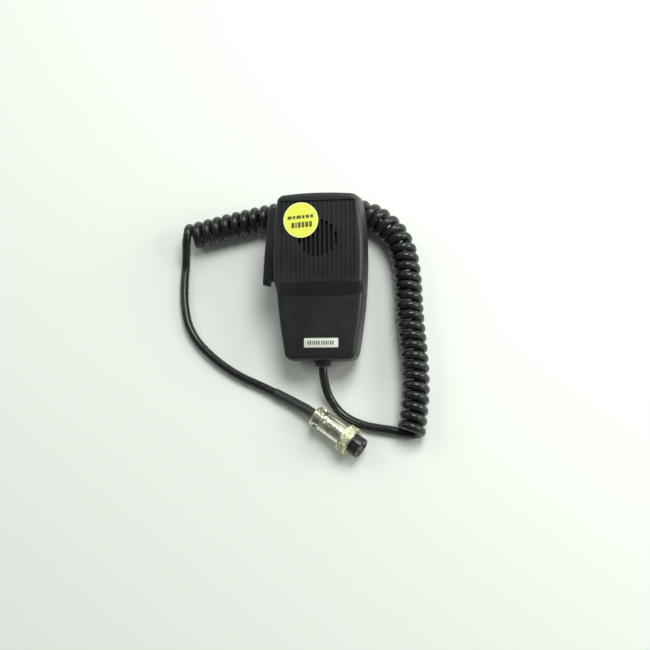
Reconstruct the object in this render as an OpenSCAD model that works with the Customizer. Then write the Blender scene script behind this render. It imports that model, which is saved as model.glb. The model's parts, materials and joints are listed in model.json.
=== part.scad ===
// Hand microphone with a press-to-talk lever, a curly cord and a screw-ring plug.
// The microphone leans face up on its own curly cord; z = 0 is the table.
// Millimetres. +X is to the right, +Y is towards the grille end, +Z is up.

/* [Case] */
// Length of the case from end to end
case_l = 104; // [102:0.5:106]
// Width of the case at its widest belt
case_w = 58; // [57:0.5:59]
// Height of the grille block above the parting line
grille_h = 18; // [17.5:0.5:19]
// Height of the lower panel above the parting line
panel_h = 12; // [11.5:0.5:12.5]
// Depth of the rear shell below the parting line
rear_h = 15; // [14.5:0.5:15.5]
// Wall thickness of both shells
wall = 2; // [1.8:0.1:2.2]

/* [Grille] */
// Width of the ribbed recess
recess_w = 47.2; // [46:0.1:47.4]
// Length of the ribbed recess
recess_l = 48.3; // [48:0.1:50]
// Depth of the ribbed recess
recess_deep = 1.4; // [1.2:0.1:1.8]
// Number of vertical ribs
rib_count = 16; // [14:2:16]
// Width of one rib
rib_w = 1.2; // [1:0.1:1.6]
// Diameter of the circle that the sound slots fill
sound_d = 23; // [20:1:26]

/* [Press-to-talk lever] */
// Greatest angle that the lever is pressed through
press_angle = 6.5; // [4:0.5:6.5]
// Width of the lever
lever_w = 16; // [14:0.5:16]
// Diameter of the lever's pivot pin
pivot_d = 2; // [1.6:0.1:2.4]

/* [Cord] */
// Diameter of the cord
cord_d = 5.6; // [5.2:0.1:5.8]
// Outside diameter of the curly stretch
coil_d = 17.8; // [17.4:0.1:17.8]

/* [Plug] */
// Outside diameter of the screw ring
ring_d = 18.2; // [17.5:0.1:18.4]
// Length of the screw ring
ring_l = 6.6; // [6:0.1:6.8]
// Distance that the ring slides forward
ring_travel = 3.5; // [2:0.5:4]
// Diameter of the barrel
barrel_d = 13; // [12.8:0.1:13.2]
// Diameter of the insert's nose
nose_d = 12.9; // [12.5:0.1:13]

/* [Hidden] */
$fn = 48;

black_plastic = [0.13, 0.14, 0.14];
cord_black = [0.05, 0.05, 0.05];
nickel = [0.78, 0.77, 0.73];
steel = [0.62, 0.62, 0.64];
brass = [0.78, 0.62, 0.3];
slip = 0.05;                 // radial clearance of a running fit

// ---- Case outline and pose ----
corner_r = 5.5;
belt_y = 13;                 // the case is widest here
narrow_top = 0.00216;        // how fast the sides draw in above the belt
narrow_bottom = 0.00154;     // and below it
front_draft = 0.9;
crown = 1.2;                 // how far the top end bows out in the middle
edge_r = 3.4;                // how far the flat back face is drawn in from the outline
lean = 11.3;                 // angle at which the case leans on its curly cord
case_x = 4;
case_y = 0;
case_z = (case_l / 2 - edge_r) * sin(lean) + rear_h * cos(lean);
slope_top = -4.2;            // the slope from the grille block to the panel
slope_foot = -11.6;

// ---- Grille ----
recess_y = 22.05;            // middle of the recess
recess_floor = grille_h - recess_deep;
rib_top = grille_h - 0.7;
rib_pitch = 2.85;
sound_y = 23.2;              // middle of the sound slots
sound_slots = 9;
slot_w = rib_pitch - rib_w;

// ---- Capsule ----
capsule_d = 24;
capsule_y = 24;
capsule_top = grille_h - 4.4;
capsule_h = 9;
strap_t = 1.2;
strap_z = capsule_top - capsule_h - strap_t;
strap_x = 16.5;

// ---- Lever and switch ----
pivot_x = -23.5;
pivot_y = 39.5;
lever_top = 44;
lever_end = -5.2;
window_x = -24.1;            // how far in its window reaches
switch_y = 11.5;
plunger_travel = (pivot_y - switch_y) * press_angle * PI / 180;
plunger_w = 4;
plunger_l = 9;
plunger_h = 3;
switch_z = -5;
switch_x = -20;              // face that the plunger comes out of
switch_l = 17;
switch_screw_x = -13.5;
switch_screw_reach = 6.6;    // of its two screws, to either side of the plunger
plunger_nose_x = -25;
plunger_back_x = plunger_nose_x + 1.5 + plunger_l;
spring_y = 0;
spring_d = 5;
spring_wire = 0.6;
spring_turns = 7;
spring_seat_x = -20.5;
spring_outer_x = -33.1;

// ---- Screws ----
case_screw_spots = [[-16, 45.5], [16, 45.5], [-15, -40], [15, -40]];
screw_r = 1.25;
screw_head_r = 2.7;
screw_head_h = 1.8;
screw_seat = -rear_h + 2.6;
boss_r = 3.4;

// ---- Hang button ----
button_y = 14;
button_neck_d = 10;
button_head_d = 16;
button_neck_h = 4;
button_head_h = 3;

// ---- Cord entry ----
gland_l = 4.5;
clamp_y = -42;

// ---- Plug: s runs along its axis from the cord end to the nose ----
clamp_l = 9.4;
clamp_r = 6.6;
ring_s = 24;                 // rear face of the ring when it is slid back
plug_yaw = -35.4;
plug_pitch = atan((ring_d / 2 - clamp_r) / ring_s);   // it rests on its ring and its clamp
plug_at = [-1.3, -85.2, clamp_r * cos(plug_pitch)];
ring_lip_l = 1.4;
washer_t = 0.4;
flange_s = ring_s + ring_lip_l + washer_t + ring_travel + 0.3;   // front flange that keeps the ring on
barrel_front_s = flange_s + 1;
nose_l = 6.8;
plug_l = barrel_front_s + nose_l;
thread_r = 7.5;
contact_spread = 3.2;

// ---- Route of the cord, chosen by hand ----
lead_route = [
    [4, -55.55, 13], [4.2, -59.5, 12.1], [4.7, -63.85, 10.2], [5.7, -68.7, 7.8],
    [7.48, -73.62, 5.4], [10.22, -78.13, 3.6], [14.3, -83, 2.8], [19.6, -86.9, 2.8],
    [26.1, -89.9, 2.8], [33.14, -91.96, 2.8], [40.36, -93.14, 2.8], [47.52, -94.18, 2.8],
    [54.2, -95.7, 2.8]
];
coil_route = [
    [59.7, -96.6], [61, -85.4], [62, -73.4], [62, -61.4], [61.2, -49.4], [59.9, -37.4],
    [58.6, -25.4], [57.6, -13.4], [56.9, -1.4], [55.8, 8.6], [53.9, 18.5], [50.2, 27.8], [44.8, 35.3],
    [37.9, 41.2], [29.8, 45.6], [20.8, 47.8], [9.8, 48.7], [-1.2, 48.8], [-12.2, 48.5],
    [-24.2, 47.3], [-36.2, 45.6], [-47.2, 43.4], [-59.2, 40.8], [-71, 38], [-81, 35.6], [-89, 33.6]
];
tail_route = [
    [-89, 33.6, 15], [-89.9, 29, 13.6], [-90.8, 24.4, 10], [-91.9, 19.5, 5.8], [-92.6, 14.5, 3.2],
    [-92.9, 6.4, 2.8], [-92.6, -4.6, 2.8], [-91.2, -14.8, 2.8], [-88.1, -25.8, 2.8],
    [-81.7, -36.2, 2.8], [-72.6, -45.4, 2.8], [-62.2, -53.4, 2.8], [-50.4, -60.3, 2.8],
    [-39.2, -65.3, 2.8], [-28.1, -70.5, 3]
];
sleeve_route = [
    [-28.1, -70.5, 3.5], [-22.4, -73.4, 3.5], [-16.7, -76.2, 3.8], [-11.2, -79.1, 4.9],
    [-6.8, -81.4, 5.9], [-3.8, -83.5, 6.25], [-1.3, -85.2, 6.55], [5.5, -90.05, 7.45]
];
sleeve_d = 7;

// ==== Helpers ====
// Half of the case's width at a height y along it
function half_w(y) =
    case_w / 2 - (y > belt_y ? narrow_top : narrow_bottom) * (y - belt_y) * (y - belt_y);

// Right half of the case's outline, drawn in by inset
function half_outline(inset) =
    let (
        r = max(corner_r - inset, 1),
        y = case_l / 2 - inset - r,
        foot_x = half_w(-y) - inset - r,
        head_x = half_w(y) - inset - r
    )
    concat(
        [for (a = [-90:22.5:0]) [foot_x + r * cos(a), -y + r * sin(a)]],
        [for (i = [1:7]) let (h = -y + i * y / 4) [half_w(h) - inset, h]],
        [for (a = [0:22.5:90]) [head_x + r * cos(a), y + r * sin(a)]],
        [for (t = [0.75:-0.25:0.25]) [head_x * t, y + r]]
    );

// The top end bows out: a point moves down the further it lies to the side
function crowned(p) =
    [p[0], p[1] - crown * pow(p[0] / 22, 2) * pow(max(0, (p[1] - 30) / 22), 2)];

function outline(inset) =
    let (right = [for (p = half_outline(inset)) crowned(p)], n = len(right))
    concat(right, [for (i = [n - 1:-1:0]) [-right[i][0], right[i][1]]]);

// A block whose outline is drawn in at each level: levels = [[z, inset], ...]
module block(levels) {
    hull()
        for (l = levels)
            translate([0, 0, l[0]])
                linear_extrude(0.01)
                    polygon(outline(l[1]));
}

// A prism across the case, drawn as its side view: points = [[y, z], ...]
module side_view(points, w = 80) {
    translate([-w / 2, 0, 0])
        rotate([90, 0, 90])
            linear_extrude(w)
                polygon(points);
}

// Places the case's own frame on the table
module laid() {
    translate([case_x, case_y, case_z])
        rotate([lean, 0, 0])
            children();
}

// Places the plug's own frame: its axis runs along +Z from the cord end to the nose, +Y is up
module plugged() {
    translate(plug_at)
        rotate([0, 0, plug_yaw])
            rotate([90 - plug_pitch, 0, 90])
                children();
}

module tube_ring(r_out, r_in, h) {
    difference() {
        cylinder(r = r_out, h = h);
        translate([0, 0, -1])
            cylinder(r = r_in, h = h + 2);
    }
}

function unit(v) = v / norm(v);
function way(route, i) =
    unit(route[min(i + 1, len(route) - 1)] - route[max(i - 1, 0)]);

// A round cord swept along a route of [x, y, z] points
module cord(route, d, sides = 10) {
    n = len(route);
    points = [
        for (i = [0:n - 1])
            let (t = way(route, i), u = unit(cross(t, [0, 0, 1])), v = cross(u, t))
            for (k = [0:sides - 1])
                route[i] + d / 2 * (cos(360 * k / sides) * u + sin(360 * k / sides) * v)
    ];
    walls = [
        for (i = [0:n - 2], k = [0:sides - 1])
            let (a = i * sides + k, b = i * sides + (k + 1) % sides)
            each [[a, b, b + sides], [a, b + sides, a + sides]]
    ];
    ends = [
        [for (k = [sides - 1:-1:0]) k],
        [for (k = [0:sides - 1]) (n - 1) * sides + k]
    ];
    polyhedron(points, concat(walls, ends));
}

// A pan-head screw along +Z, with its head's seat at z = 0 and its head below it
module screw(r, l, head_r, head_h) {
    difference() {
        union() {
            cylinder(r = r, h = l);
            translate([0, 0, -head_h])
                cylinder(r = head_r, h = head_h);
        }
        for (a = [0, 90])
            rotate([0, 0, a])
                translate([-head_r * 0.6, -0.3, -head_h - 1])
                    cube([head_r * 1.2, 0.6, head_h * 0.55 + 1]);
    }
}

// ==== Shells ====
module front_outer() {
    intersection() {
        block([[0, 0], [grille_h - 3, front_draft], [grille_h - 1.2, front_draft + 0.6],
               [grille_h - 0.01, front_draft + 1.9]]);
        side_view([[-60, 0], [-60, panel_h], [slope_foot, panel_h], [slope_top, grille_h],
                   [60, grille_h], [60, 0]]);
    }
}

module front_inner() {
    intersection() {
        block([[-1, wall], [grille_h, wall + front_draft]]);
        side_view([[-60, -2], [-60, panel_h - wall], [slope_foot + 0.9, panel_h - wall],
                   [slope_top - 1, recess_floor - wall + 0.2],
                   [60, recess_floor - wall + 0.2], [60, -2]]);
    }
}

module ribs() {
    for (i = [0:rib_count - 1])
        translate([(i - (rib_count - 1) / 2) * rib_pitch - rib_w / 2,
                   recess_y - recess_l / 2, recess_floor - 0.5])
            cube([rib_w, recess_l, rib_top - recess_floor + 0.5]);
}

module sound_opening() {
    intersection() {
        translate([0, sound_y, recess_floor - 4])
            cylinder(d = sound_d, h = 8);
        for (i = [0:sound_slots - 1])
            translate([(i - (sound_slots - 1) / 2) * rib_pitch - slot_w / 2,
                       sound_y - sound_d, recess_floor - 4])
                cube([slot_w, 2 * sound_d, 8]);
    }
}

// Window in the left side that the lever moves through
module lever_window() {
    translate([-40, lever_end + 2.4, -lever_w / 2 - 0.5])
        cube([40 + window_x, lever_top - lever_end - 1.4, lever_w + 1]);
}

module gland_hole() {
    translate([0, -case_l / 2 + 6, 0])
        rotate([90, 0, 0])
            cylinder(r = 4.2, h = 12);
}

module front_bosses() {
    for (p = case_screw_spots)
        translate([p[0], p[1], 0.2])
            cylinder(r = boss_r - 0.4, h = p[1] > 0 ? 15 : 11);
    for (x = [-strap_x, strap_x])
        translate([x, capsule_y, strap_z + strap_t])
            cylinder(r = 2.6, h = capsule_h + 2);
    // cradle ring around the capsule
    translate([0, capsule_y, capsule_top - 4])
        tube_ring(capsule_d / 2 + 1.4, capsule_d / 2 + 0.2, 6);
    // upper end of the pivot pin's seat
    translate([pivot_x, pivot_y, lever_w / 2 + 0.3])
        cylinder(r = 2.6, h = 6.5);
}

module front_shell() laid() color(black_plastic) {
    difference() {
        union() {
            difference() {
                front_outer();
                front_inner();
                translate([-recess_w / 2, recess_y - recess_l / 2, recess_floor])
                    cube([recess_w, recess_l, 5]);
            }
            intersection() {
                front_bosses();
                front_outer();
            }
            intersection() {
                ribs();
                translate([-recess_w / 2, recess_y - recess_l / 2, 0])
                    cube([recess_w, recess_l, 30]);
            }
        }
        sound_opening();
        lever_window();
        gland_hole();
        for (p = case_screw_spots)
            translate([p[0], p[1], -1])
                cylinder(r = screw_r, h = 9);
        for (x = [-strap_x, strap_x])
            translate([x, capsule_y, strap_z])
                cylinder(r = 0.9, h = 7);
        translate([pivot_x, pivot_y, 0])
            cylinder(d = pivot_d, h = lever_w / 2 + 3);
    }
}

module back_outer() {
    block([[-0.01, 0], [-rear_h + 2.6, 1.2], [-rear_h + 0.7, 1.9], [-rear_h, edge_r]]);
}

module back_inner() {
    block([[-rear_h + wall, wall + 1.2], [1, wall]]);
}

module back_bosses() {
    for (p = case_screw_spots)
        translate([p[0], p[1], -rear_h])
            cylinder(r = boss_r, h = rear_h);
    // posts under the switch
    for (y = [-1, 1])
        translate([switch_screw_x, switch_y + y * switch_screw_reach, -rear_h])
            cylinder(r = 2.4, h = rear_h - 9.5);
    // lower end of the pivot pin's seat
    translate([pivot_x, pivot_y, -rear_h])
        cylinder(r = 2.6, h = rear_h - lever_w / 2 - 0.3);
    // seat of the return spring
    translate([spring_seat_x, spring_y - 2.7, -rear_h])
        cube([1.8, 5.4, rear_h + 3]);
    // seat of the cord clamp
    for (x = [-6, 6])
        translate([x, clamp_y, -rear_h])
            cylinder(r = 2.4, h = rear_h - 2.9);
    // thick pad inside the wall where the hang button is screwed on
    translate([0, button_y, -rear_h])
        cylinder(r = 5, h = wall + 3);
}

module back_shell() laid() color(black_plastic) {
    difference() {
        union() {
            difference() {
                back_outer();
                back_inner();
            }
            intersection() {
                back_bosses();
                union() {
                    back_outer();
                    translate([-22, -10, -1])
                        cube([10, 20, 10]);
                }
            }
        }
        lever_window();
        gland_hole();
        for (p = case_screw_spots)
            translate([p[0], p[1], 0]) {
                translate([0, 0, -rear_h - 1])
                    cylinder(r = screw_r + 0.25, h = rear_h + 2);
                translate([0, 0, -rear_h - 1])
                    cylinder(r = screw_head_r + 0.3, h = screw_seat + rear_h + 1);
            }
        for (y = [-1, 1])
            translate([switch_screw_x, switch_y + y * switch_screw_reach, -13])
                cylinder(r = 0.9, h = 6);
        for (x = [-6, 6])
            translate([x, clamp_y, -12])
                cylinder(r = 0.9, h = 11);
        translate([pivot_x, pivot_y, -lever_w / 2 - 3])
            cylinder(d = pivot_d, h = 10);
        translate([0, button_y, -rear_h - 1])
            cylinder(r = 1.4, h = 10);
    }
}

module case_screws() laid() color(steel)
    for (p = case_screw_spots)
        translate([p[0], p[1], screw_seat])
            screw(screw_r, -screw_seat + 7.5, screw_head_r, screw_head_h);

module hang_button() laid() color(black_plastic)
    translate([0, button_y, -rear_h])
        difference() {
            union() {
                translate([0, 0, -button_neck_h])
                    cylinder(d = button_neck_d, h = button_neck_h);
                translate([0, 0, -button_neck_h - button_head_h])
                    cylinder(d = button_head_d, h = button_head_h);
            }
            translate([0, 0, -20])
                cylinder(r = 1.5, h = 30);
            translate([0, 0, -button_neck_h - button_head_h - 1])
                cylinder(r = 3.2, h = 3.4);
        }

module hang_button_screw() laid() color(steel)
    translate([0, button_y, -rear_h - button_neck_h - button_head_h + 2.4])
        screw(1.4, 9, 2.9, 1.9);

// ==== Sound capsule ====
module dust_screen() laid() color([0.08, 0.08, 0.08])
    translate([0, capsule_y, capsule_top + 0.5])
        cylinder(r = capsule_d / 2, h = 0.4);

module capsule_gasket() laid() color([0.1, 0.1, 0.1])
    translate([0, capsule_y, capsule_top])
        tube_ring(capsule_d / 2, capsule_d / 2 - 2, 0.5);

module mic_capsule() laid() color([0.7, 0.7, 0.68])
    translate([0, capsule_y, capsule_top - capsule_h])
        difference() {
            cylinder(d = capsule_d, h = capsule_h);
            translate([0, 0, capsule_h - 0.8])
                cylinder(d = capsule_d - 5, h = 2);
            for (a = [0:60:300])
                rotate([0, 0, a])
                    translate([5, 0, capsule_h - 2])
                        cylinder(r = 0.9, h = 3);
        }

module capsule_terminals() laid() color(brass)
    for (x = [-3, 3])
        translate([x - 1, capsule_y - 9, capsule_top - capsule_h - 0.6])
            cube([2, 3.4, 0.6]);

module capsule_strap() laid() color(steel)
    translate([0, capsule_y, strap_z])
        difference() {
            union() {
                translate([-strap_x, -3.5, 0])
                    cube([2 * strap_x, 7, strap_t]);
                for (x = [-strap_x, strap_x])
                    translate([x, 0, 0])
                        cylinder(r = 3.5, h = strap_t);
            }
            for (x = [-strap_x, strap_x])
                translate([x, 0, -1])
                    cylinder(r = 1.1, h = 4);
        }

module capsule_strap_screws() laid() color(steel)
    for (x = [-strap_x, strap_x])
        translate([x, capsule_y, strap_z])
            screw(0.9, 6.5, 2, 1.2);

// ==== Press-to-talk lever ====
// Outer edge of the lever as [x, y], from its top to the end of its lip
lever_outer = [[-31.6, lever_top], [-33, 41.5], [-34.6, 26], [-35.9, 12], [-36.7, 0], [-37, lever_end]];

module lever_blank(inner_x)
    polygon(concat([[inner_x, lever_top]], lever_outer,
                   [[-34.6, lever_end], [-34.4, -1.8], [inner_x, -1.8]]));

module ptt_lever() laid() color(black_plastic) {
    difference() {
        union() {
            difference() {
                translate([0, 0, -lever_w / 2])
                    linear_extrude(lever_w)
                        lever_blank(-26.2);
                // hollow behind the outer skin
                translate([0, 0, -lever_w / 2 + 1.6])
                    linear_extrude(lever_w - 3.2)
                        polygon([[-20, 41.5], [-30.6, 41.5], [-32, 26], [-33.3, 12], [-33.3, 0.2],
                                 [-33.3, -10], [-20, -10]]);
            }
            // ears around the pivot pin
            for (z = [-lever_w / 2, lever_w / 2 - 1.6])
                translate([0, 0, z])
                    linear_extrude(1.6)
                        polygon([[-27, lever_top - 1], [-24.5, 42.2], [-21.4, 40.5], [-21.4, 38.2],
                                 [-26.5, 34]]);
            // finger that meets the switch plunger
            translate([-34, switch_y - 1.6, -lever_w / 2 + 0.5])
                cube([34 + plunger_nose_x - 0.15, 3.2, lever_w - 1]);
        }
        translate([pivot_x, pivot_y, -20])
            cylinder(r = pivot_d / 2 + slip, h = 40);
        // grip grooves across the outer face
        for (i = [0:6])
            translate([-37.9 + i * 0.02, 4 + i * 3, -lever_w / 2 - 1])
                cube([2, 0.8, lever_w + 2]);
    }
}

module ptt_pivot_pin() laid() color(steel)
    translate([pivot_x, pivot_y, -lever_w / 2 - 2.9])
        cylinder(d = pivot_d, h = lever_w + 5.8);

// Wire of the return spring, wound along -X from its seat to the lever
module ptt_return_spring() laid() color(steel) {
    steps = spring_turns * 12;
    run = spring_seat_x - spring_outer_x - 2 * spring_wire;
    cord([for (i = [0:steps])
        [spring_seat_x - spring_wire - run * i / steps,
         spring_y + (spring_d - spring_wire) / 2 * cos(i * 30),
         (spring_d - spring_wire) / 2 * sin(i * 30)]], spring_wire, 6);
}

module switch_body() laid() color([0.12, 0.12, 0.13])
    difference() {
        translate([switch_x, switch_y - switch_l / 2, -9.4])
            cube([13, switch_l, 8.4]);
        translate([switch_x - 1, switch_y - plunger_w / 2 - slip, switch_z - plunger_h / 2 - slip])
            cube([plunger_back_x - switch_x + plunger_travel + 1.8, plunger_w + 2 * slip,
                  plunger_h + 2 * slip]);
        for (y = [-1, 1])
            translate([switch_screw_x, switch_y + y * switch_screw_reach, -12])
                cylinder(r = 1.1, h = 14);
    }

module switch_plunger() laid() color([0.8, 0.8, 0.76])
    translate([0, switch_y, switch_z]) {
        translate([plunger_nose_x + 1.5, -plunger_w / 2, -plunger_h / 2])
            cube([plunger_l, plunger_w, plunger_h]);
        translate([plunger_nose_x + 1.5, 0, -plunger_h / 2])
            cylinder(r = 1.5, h = plunger_h);
    }

module switch_screws() laid() color(steel)
    for (y = [-1, 1])
        translate([switch_screw_x, switch_y + y * switch_screw_reach, -1])
            rotate([180, 0, 0])
                screw(0.9, 11.5, 1.9, 1.2);

module switch_terminals() laid() color(brass)
    for (y = [-6:3:6])
        translate([switch_x + 13, switch_y + y - 0.6, -5.5])
            cube([2.6, 1.2, 0.5]);

// ==== Cord entry ====
module cord_gland() laid() color(cord_black)
    translate([0, -case_l / 2, 0])
        rotate([90, 0, 0])
            difference() {
                union() {
                    cylinder(r1 = 5.85, r2 = 4.65, h = gland_l);
                    translate([0, 0, -2.8])
                        cylinder(r = 4.1, h = 2.9);
                    translate([0, 0, -4.4])
                        cylinder(r = 5.4, h = 1.7);
                }
                translate([0, 0, -10])
                    cylinder(d = cord_d, h = 20);
            }

module cord_inner_end() laid() color(cord_black)
    translate([0, -case_l / 2 - gland_l, 0])
        rotate([-90, 0, 0])
            cylinder(d = cord_d, h = 20);

module cord_clamp() laid() color(steel)
    translate([0, clamp_y, 0])
        difference() {
            union() {
                translate([0, 3, 0])
                    rotate([90, 0, 0])
                        difference() {
                            cylinder(r = cord_d / 2 + 1.1, h = 6);
                            translate([-10, -20, -1])
                                cube([20, 20 - 2.8, 8]);
                        }
                translate([-9, -3, -2.8])
                    cube([18, 6, 1.1]);
            }
            translate([0, 10, 0])
                rotate([90, 0, 0])
                    cylinder(d = cord_d + 2 * slip, h = 20);
            translate([-cord_d / 2 - slip, -10, -5])
                cube([cord_d + 2 * slip, 20, 5]);
            for (x = [-6, 6])
                translate([x, 0, -4])
                    cylinder(r = 1.1, h = 6);
        }

module cord_clamp_screws() laid() color(steel)
    for (x = [-6, 6])
        translate([x, clamp_y, -1.7])
            rotate([180, 0, 0])
                screw(0.9, 9, 1.9, 1.2);

// Coloured cores from the cord's end to the switch and the capsule
module inner_leads() laid() {
    color("firebrick")
        cord([[-1.4, -36, 0], [-2.4, -30, -1], [-3, -18, -3], [-2.6, -6, -5], [-2.4, 3, -6],
              [-3, 8.5, -5.6], [-4, 8.5, -5.2]], 1.2, 8);
    color("white")
        cord([[0.2, -36, 1.2], [0.4, -28, 1], [-0.4, -12, -1], [-0.6, 2, -4], [-0.8, 9, -5.4],
              [-2.4, 11.5, -5.6], [-4, 11.5, -5.2]], 1.2, 8);
    color("steelblue")
        cord([[1.4, -36, -0.6], [3, -28, -1], [6, -12, 0], [8, 0, 1], [7, 9, 2], [4.4, 13, 2.8],
              [3, 15.8, 3.3]], 1.2, 8);
}

// ==== Markings ====
module round_sticker() laid() color([0.93, 0.88, 0.25])
    translate([-10.3, 34.1, rib_top])
        cylinder(r = 11, h = 0.15);

module name_label() laid() color([0.9, 0.9, 0.88])
    translate([1.1 - 10.75, -41.7 - 2.9, panel_h])
        cube([21.5, 5.8, 0.2]);

// ==== Cord ====
function at_height(flat, z) = [for (p = flat) [p[0], p[1], z]];

module cord_lead() color(cord_black)
    cord(lead_route, cord_d);

module curly_cord() color(cord_black)
    cord(at_height(coil_route, coil_d / 2), coil_d, 12);

module cord_tail() color(cord_black)
    cord(tail_route, cord_d);

module cord_sleeve() color([0.2, 0.2, 0.2])
    cord(sleeve_route, sleeve_d);

// ==== Plug ====
module plug_barrel() plugged() color(nickel) {
    difference() {
        union() {
            translate([0, 0, clamp_l])
                cylinder(d = barrel_d, h = barrel_front_s - clamp_l);
            translate([0, 0, flange_s])
                cylinder(r = 7.2, h = barrel_front_s - flange_s);
            // lower half of the cable clamp
            intersection() {
                cylinder(r = clamp_r, h = clamp_l + 1);
                translate([-10, -10, 0])
                    cube([20, 9.4, clamp_l + 1]);
            }
        }
        translate([0, 0, -1])
            cylinder(d = sleeve_d + 0.2, h = clamp_l + 3);
        translate([0, 0, clamp_l])
            cylinder(r = 5.2, h = 8);
        translate([0, 0, 17])
            cylinder(r = 5.6, h = 20);
        for (x = [-5.1, 5.1])
            translate([x, -10, 4.4])
                rotate([-90, 0, 0])
                    cylinder(r = 0.9, h = 12);
        translate([0, 4, 14])
            rotate([-90, 0, 0])
                cylinder(r = 1.1, h = 6);
    }
}

module plug_clamp_saddle() plugged() color(nickel)
    difference() {
        intersection() {
            translate([0, 0, 0.4])
                cylinder(r = clamp_r, h = clamp_l - 0.8);
            translate([-10, 0.4, 0])
                cube([20, 10, clamp_l]);
        }
        translate([0, 0, -1])
            cylinder(d = sleeve_d + 0.2, h = 20);
        for (x = [-5.1, 5.1]) {
            translate([x, -4, 4.4])
                rotate([-90, 0, 0])
                    cylinder(r = 1.05, h = 12);
            translate([x - 2.1, 2.6, 2.2])
                cube([4.2, 10, 4.4]);
        }
    }

module plug_clamp_screws() plugged() color(steel)
    for (x = [-5.1, 5.1])
        translate([x, 2.6, 4.4])
            rotate([90, 0, 0])
                screw(0.9, 6.5, 1.9, 1.3);

module plug_set_screw() plugged() color(steel)
    translate([0, 6.2, 14])
        rotate([90, 0, 0])
            difference() {
                cylinder(r = 1.1, h = 1.9);
                translate([-2, -0.2, -1])
                    cube([4, 0.4, 1.6]);
            }

module contact_spots()
    for (a = [45:90:315])
        rotate([0, 0, a])
            translate([contact_spread, 0, 0])
                children();

module plug_insert() plugged() color([0.06, 0.06, 0.06])
    difference() {
        union() {
            translate([0, 0, 18])
                cylinder(r = 5.6, h = barrel_front_s - 17.9);
            translate([0, 0, barrel_front_s])
                cylinder(d = nose_d, h = plug_l - barrel_front_s);
        }
        contact_spots()
            translate([0, 0, 10])
                cylinder(r = 1.25, h = 40);
        // keyway down the side of the nose
        translate([-1.1, nose_d / 2 - 1.3, barrel_front_s + 1])
            cube([2.2, 3, 10]);
    }

module plug_contacts() plugged() color(brass)
    contact_spots()
        translate([0, 0, 15.5])
            difference() {
                cylinder(r = 1.25, h = 20.5);
                translate([0, 0, 11])
                    cylinder(r = 0.75, h = 12);
                translate([-2, 0, -1])
                    cube([4, 4, 3.2]);
            }

// Cores from the cord's end to the contacts' solder cups
module plug_leads() plugged()
    for (i = [0:3])
        let (a = 45 + 90 * i)
            color(["firebrick", "white", "steelblue", "goldenrod"][i])
                cord([[1.1 * cos(a), 1.1 * sin(a), 8.8], [1.3 * cos(a), 1.3 * sin(a), 10.5],
                      [2.9 * cos(a), 2.9 * sin(a), 13.4], [3.2 * cos(a), 3.2 * sin(a), 15.4]], 1.2, 8);

module coupling_ring() plugged() color(nickel)
    translate([0, 0, ring_s])
        difference() {
            cylinder(d = ring_d, h = ring_l);
            translate([0, 0, -1])
                cylinder(r = barrel_d / 2 + 0.3, h = ring_l + 2);
            translate([0, 0, ring_lip_l])
                cylinder(r = thread_r, h = ring_l);
            for (a = [0:10:350])
                rotate([0, 0, a])
                    translate([ring_d / 2 - 0.25, -0.25, 0.8])
                        cube([1, 0.5, ring_l - 1.6]);
        }

module ring_washer() plugged() color(steel)
    translate([0, 0, ring_s + ring_lip_l + 0.05])
        tube_ring(thread_r - 0.1, barrel_d / 2 + 0.1, washer_t);

front_shell();
back_shell();
dust_screen();
capsule_gasket();
mic_capsule();
capsule_terminals();
capsule_strap();
capsule_strap_screws();
ptt_lever();
ptt_pivot_pin();
ptt_return_spring();
switch_body();
switch_plunger();
switch_screws();
switch_terminals();
inner_leads();
cord_inner_end();
cord_clamp();
cord_clamp_screws();
cord_gland();
case_screws();
hang_button();
hang_button_screw();
round_sticker();
name_label();
cord_lead();
curly_cord();
cord_tail();
cord_sleeve();
plug_barrel();
plug_clamp_saddle();
plug_clamp_screws();
plug_set_screw();
plug_insert();
plug_contacts();
plug_leads();
coupling_ring();
ring_washer();
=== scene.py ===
"""Looks of a hand microphone that leans face up on its own curly cord. Metres, in the CAD's frame."""
import json
import math

import bmesh
import bpy
from mathutils import Matrix, Vector


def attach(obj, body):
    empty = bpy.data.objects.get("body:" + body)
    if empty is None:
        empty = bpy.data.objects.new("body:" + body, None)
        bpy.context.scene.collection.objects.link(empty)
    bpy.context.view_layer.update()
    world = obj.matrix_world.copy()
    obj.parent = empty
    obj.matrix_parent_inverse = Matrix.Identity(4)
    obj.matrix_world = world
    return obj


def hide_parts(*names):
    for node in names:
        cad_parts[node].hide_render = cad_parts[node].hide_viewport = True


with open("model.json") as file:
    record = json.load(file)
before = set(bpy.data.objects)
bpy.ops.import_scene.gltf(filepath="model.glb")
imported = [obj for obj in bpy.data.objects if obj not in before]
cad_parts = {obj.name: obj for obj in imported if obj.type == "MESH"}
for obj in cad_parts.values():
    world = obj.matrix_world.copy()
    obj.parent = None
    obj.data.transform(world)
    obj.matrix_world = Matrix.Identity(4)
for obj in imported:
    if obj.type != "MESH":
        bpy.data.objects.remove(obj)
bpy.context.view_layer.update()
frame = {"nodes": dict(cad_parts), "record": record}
MM = 0.001
UP = Vector((0, 0, 1))


# ==== Places worked out from the frame ====
def joint(name):
    return next(j for j in frame["record"]["behaviour"]["joints"] if j["name"] == name)


def mount(name):
    return next(m for m in frame["record"]["mounts"] if m["name"] == name)


PIVOT = Vector((-23.5, 39.5, 0))            # the lever's pivot in the case's own frame, in mm
pivot_axis = Vector(joint("ptt_press")["axis"])
LEAN = math.atan2(-pivot_axis.y, pivot_axis.z)
case_turn = Matrix.Rotation(LEAN, 4, "X")
case_at = Vector(joint("ptt_press")["pos_m"]) - (case_turn @ PIVOT) * MM
CASE = Matrix.Translation(case_at) @ case_turn @ Matrix.Scale(MM, 4)

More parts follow.
